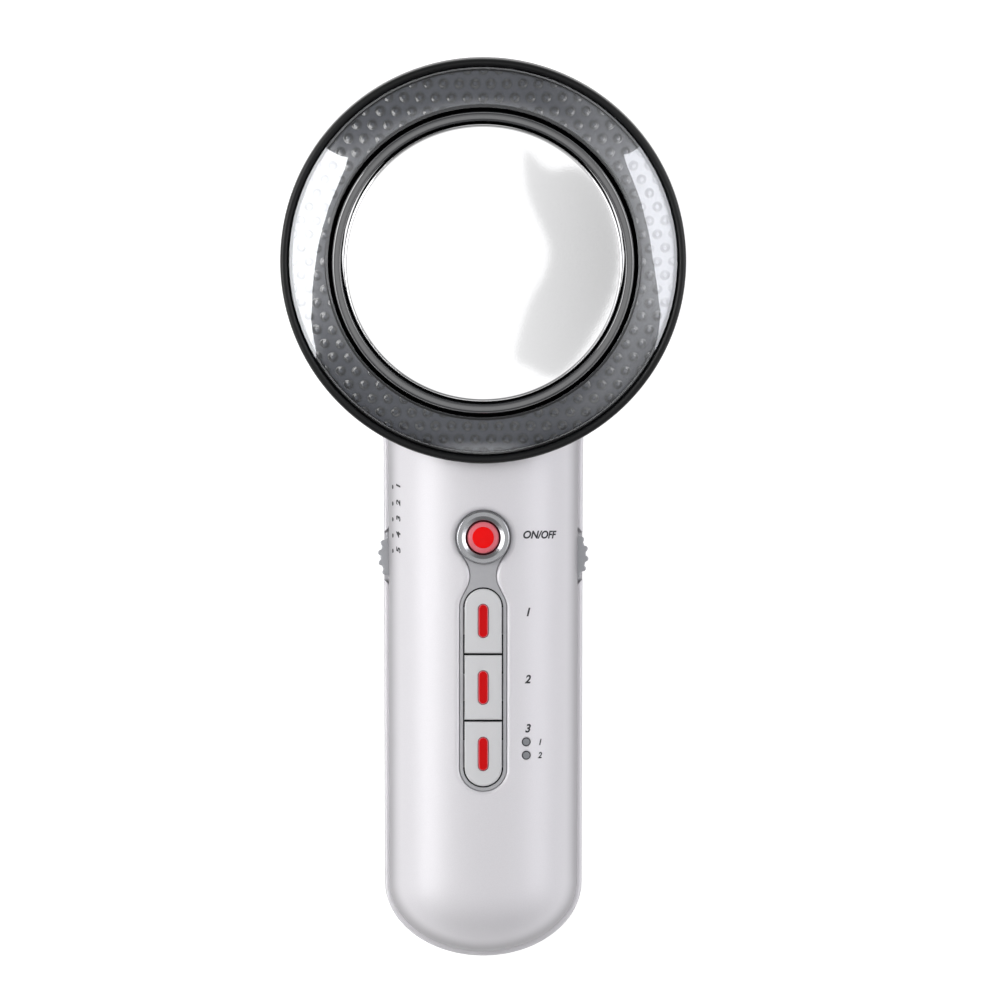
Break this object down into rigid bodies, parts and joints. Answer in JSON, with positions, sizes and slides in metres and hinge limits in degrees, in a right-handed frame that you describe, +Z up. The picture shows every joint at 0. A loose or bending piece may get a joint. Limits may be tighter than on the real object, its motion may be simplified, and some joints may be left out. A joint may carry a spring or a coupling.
{
  "type": "cavitation slimming machine",
  "caption": "Hand-held body slimming massager: round steel treatment disc in a smoked lamp ring on a tilted head, with a red power button, light-bar mode keys and side thumbwheels.",
  "frame": {"origin": "middle of the footprint, on the surface that the device lies on with its face up", "axes": "+Y along the handle towards the head, +Z up out of the face, +X to the right when the head points away"},
  "size_m": [0.0924, 0.2049, 0.0554],
  "materials": {
    "silver_painted_abs": "silver paint",
    "pearl_grey_abs": "satin",
    "grey_painted_trim": "satin paint",
    "chromed_abs": "polished",
    "red_translucent_acrylic": "clear red",
    "black_gloss_abs": "gloss",
    "black_abs": "matt",
    "smoked_polycarbonate": "smoked clear",
    "mirror_stainless_steel": "mirror polished",
    "black_silicone": "matt",
    "piezo_ceramic": "matt",
    "green_circuit_board": "lacquered",
    "black_switch_housing": "matt",
    "ferrite_core": "matt",
    "capacitor_sleeve": "shrink sleeve on aluminium",
    "water_clear_epoxy": "clear",
    "zinc_plated_steel": "zinc plated",
    "enamelled_copper_winding": "enamelled",
    "red_pvc_insulation": "satin",
    "black_pvc_insulation": "satin"
  },
  "bodies": {
    "housing": {"front_shell": "silver_painted_abs", "rear_shell": "silver_painted_abs", "rim_ring": "black_gloss_abs", "window_ring": "smoked_polycarbonate", "probe_collar": "black_gloss_abs", "probe_plate": "mirror_stainless_steel", "probe_gasket": "black_silicone", "piezo_disc": "piezo_ceramic", "probe_retainer": "black_abs", "retainer_screw_1": "zinc_plated_steel", "retainer_screw_2": "zinc_plated_steel", "retainer_screw_3": "zinc_plated_steel", "lamp_board": "green_circuit_board", "lamp_1": "water_clear_epoxy", "lamp_2": "water_clear_epoxy", "lamp_3": "water_clear_epoxy", "lamp_4": "water_clear_epoxy", "lamp_5": "water_clear_epoxy", "lamp_6": "water_clear_epoxy", "rim_screw_1": "zinc_plated_steel", "rim_screw_2": "zinc_plated_steel", "rim_screw_3": "zinc_plated_steel", "key_panel": "grey_painted_trim", "power_ring": "chromed_abs", "indicator_pipe_1": "water_clear_epoxy", "indicator_pipe_2": "water_clear_epoxy", "control_board": "green_circuit_board", "tact_switch_1": "black_switch_housing", "tact_switch_2": "black_switch_housing", "tact_switch_3": "black_switch_housing", "tact_switch_4": "black_switch_housing", "wheel_control_left": "black_switch_housing", "wheel_control_right": "black_switch_housing", "transformer_core": "ferrite_core", "transformer_winding": "enamelled_copper_winding", "capacitor": "capacitor_sleeve", "power_socket": "black_abs", "shell_screw_1": "zinc_plated_steel", "shell_screw_2": "zinc_plated_steel", "shell_screw_3": "zinc_plated_steel", "shell_screw_4": "zinc_plated_steel", "board_screw_1": "zinc_plated_steel", "board_screw_2": "zinc_plated_steel", "probe_lead": "red_pvc_insulation", "lamp_lead": "black_pvc_insulation"},
    "power_cap": {"power_button": "red_translucent_acrylic", "switch_stem_1": "pearl_grey_abs"},
    "key_1": {"mode_key_1": "pearl_grey_abs", "key_light_bar_1": "red_translucent_acrylic", "switch_stem_2": "pearl_grey_abs"},
    "key_2": {"mode_key_2": "pearl_grey_abs", "key_light_bar_2": "red_translucent_acrylic", "switch_stem_3": "pearl_grey_abs"},
    "key_3": {"mode_key_3": "pearl_grey_abs", "key_light_bar_3": "red_translucent_acrylic", "switch_stem_4": "pearl_grey_abs"},
    "wheel_left": {"thumbwheel_left": "grey_painted_trim"},
    "wheel_right": {"thumbwheel_right": "grey_painted_trim"}
  },
  "joints": [
    {"name": "power_push", "type": "slide", "parent": "housing", "child": "power_cap", "axis": [0, 0, -1], "range_m": [0, 0.0006], "stiffness_N_per_m": 1500},
    {"name": "key_1_push", "type": "slide", "parent": "housing", "child": "key_1", "axis": [0, 0, -1], "range_m": [0, 0.0006], "stiffness_N_per_m": 1500},
    {"name": "key_2_push", "type": "slide", "parent": "housing", "child": "key_2", "axis": [0, 0, -1], "range_m": [0, 0.0006], "stiffness_N_per_m": 1500},
    {"name": "key_3_push", "type": "slide", "parent": "housing", "child": "key_3", "axis": [0, 0, -1], "range_m": [0, 0.0006], "stiffness_N_per_m": 1500},
    {"name": "wheel_left_turn", "type": "hinge", "parent": "housing", "child": "wheel_left", "pos_m": [-0.0161, -0.01101, 0.02], "axis": [0, 0, 1], "range_deg": [-135, 135]},
    {"name": "wheel_right_turn", "type": "hinge", "parent": "housing", "child": "wheel_right", "pos_m": [0.0161, -0.01101, 0.02], "axis": [0, 0, 1], "range_deg": [-135, 135]}
  ]
}
